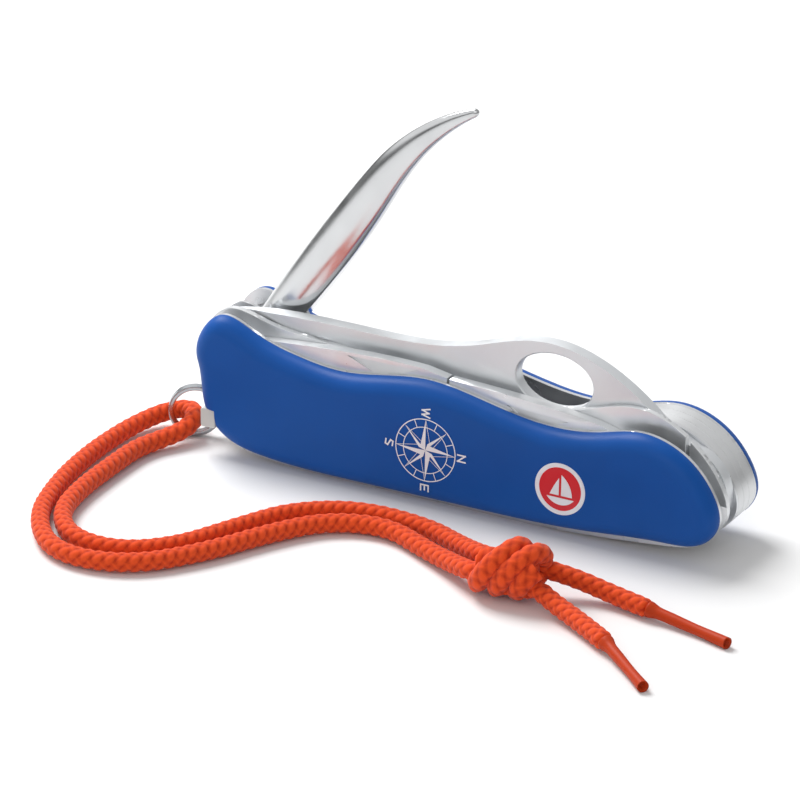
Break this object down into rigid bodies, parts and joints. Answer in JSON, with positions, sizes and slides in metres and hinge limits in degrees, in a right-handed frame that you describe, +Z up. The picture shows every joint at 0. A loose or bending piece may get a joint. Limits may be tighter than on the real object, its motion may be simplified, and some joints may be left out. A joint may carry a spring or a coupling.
{
  "type": "rigging knife",
  "caption": "Folding sailor's knife with moulded blue scales, locking one-hand blade, open marlinspike, openers, split ring and braided orange lanyard.",
  "frame": {"origin": "middle of the flat bottom edge that the closed handle stands on", "axes": "+X along the handle towards the blade's pivot end, +Y from the front scale to the back scale, +Z up out of the tool side"},
  "size_m": [0.1424, 0.0801, 0.0755],
  "materials": {
    "scale": "satin moulded royal blue",
    "badge_white": "white enamel",
    "badge_red": "red enamel",
    "liner": "rolled sheet",
    "polished_steel": "polished stainless steel",
    "spring_steel": "ground stainless steel",
    "pin_steel": "turned stainless steel",
    "brass": "turned brass",
    "blade_steel": "satin ground stainless steel",
    "spike_steel": "bright polished stainless steel",
    "grey_plastic": "light grey moulding",
    "ivory_plastic": "ivory moulding",
    "ring_steel": "plated spring wire",
    "cord": "braided orange-red polyester",
    "cord_tip": "heat-sealed cord end"
  },
  "bodies": {
    "handle": {"front_scale": "scale", "back_scale": "scale", "badge_rim": "badge_white", "badge_field": "badge_red", "badge_sail": "badge_white", "front_liner": "liner", "middle_liner": "liner", "back_liner": "liner", "lock_liner": "polished_steel", "opener_spring": "spring_steel", "blade_spacer": "spring_steel", "spike_spring_1": "spring_steel", "spike_spring_2": "spring_steel", "spike_spring_3": "spring_steel", "ring_lug": "spring_steel", "left_pivot_pin": "pin_steel", "right_pivot_pin": "pin_steel", "spring_rivets": "pin_steel", "front_left_bush": "brass", "front_right_bush": "brass", "back_left_bush": "brass", "back_right_bush": "brass"},
    "main_blade": {"main_blade": "blade_steel"},
    "marlinspike": {"marlinspike": "spike_steel"},
    "screwdriver_opener": {"screwdriver_opener": "polished_steel"},
    "can_opener": {"can_opener": "polished_steel"},
    "toothpick": {"toothpick_head": "grey_plastic", "toothpick_stem": "ivory_plastic"},
    "tweezers": {"tweezers_head": "grey_plastic", "tweezers_inner_arm": "spring_steel", "tweezers_outer_arm": "spring_steel"},
    "key_ring": {"key_ring": "ring_steel", "lanyard_outer": "cord", "lanyard_inner": "cord", "lanyard_upper_tail": "cord", "lanyard_lower_tail": "cord", "lanyard_upper_tip": "cord_tip", "lanyard_lower_tip": "cord_tip", "lanyard_knot": "cord"}
  },
  "joints": [
    {"name": "blade_pivot", "type": "hinge", "parent": "handle", "child": "main_blade", "pos_m": [0.046, 0, 0.012], "axis": [0, 1, 0], "range_deg": [0, 180]},
    {"name": "marlinspike_pivot", "type": "hinge", "parent": "handle", "child": "marlinspike", "pos_m": [-0.047, 0, 0.018], "axis": [0, -1, 0], "range_deg": [-56, 124]},
    {"name": "screwdriver_pivot", "type": "hinge", "parent": "handle", "child": "screwdriver_opener", "pos_m": [-0.047, 0, 0.018], "axis": [0, -1, 0], "range_deg": [0, 180]},
    {"name": "can_opener_pivot", "type": "hinge", "parent": "handle", "child": "can_opener", "pos_m": [0.046, 0, 0.012], "axis": [0, 1, 0], "range_deg": [0, 180]},
    {"name": "toothpick_slide", "type": "slide", "parent": "handle", "child": "toothpick", "axis": [-0.9997, 0, -0.0262], "range_m": [0, 0.04]},
    {"name": "tweezers_slide", "type": "slide", "parent": "handle", "child": "tweezers", "axis": [-0.9997, 0, -0.0262], "range_m": [0, 0.04]},
    {"name": "ring_swing", "type": "hinge", "parent": "handle", "child": "key_ring", "pos_m": [-0.0534, -0.00205, 0.0055], "axis": [0, 0, 1], "range_deg": [-20, 4]}
  ]
}
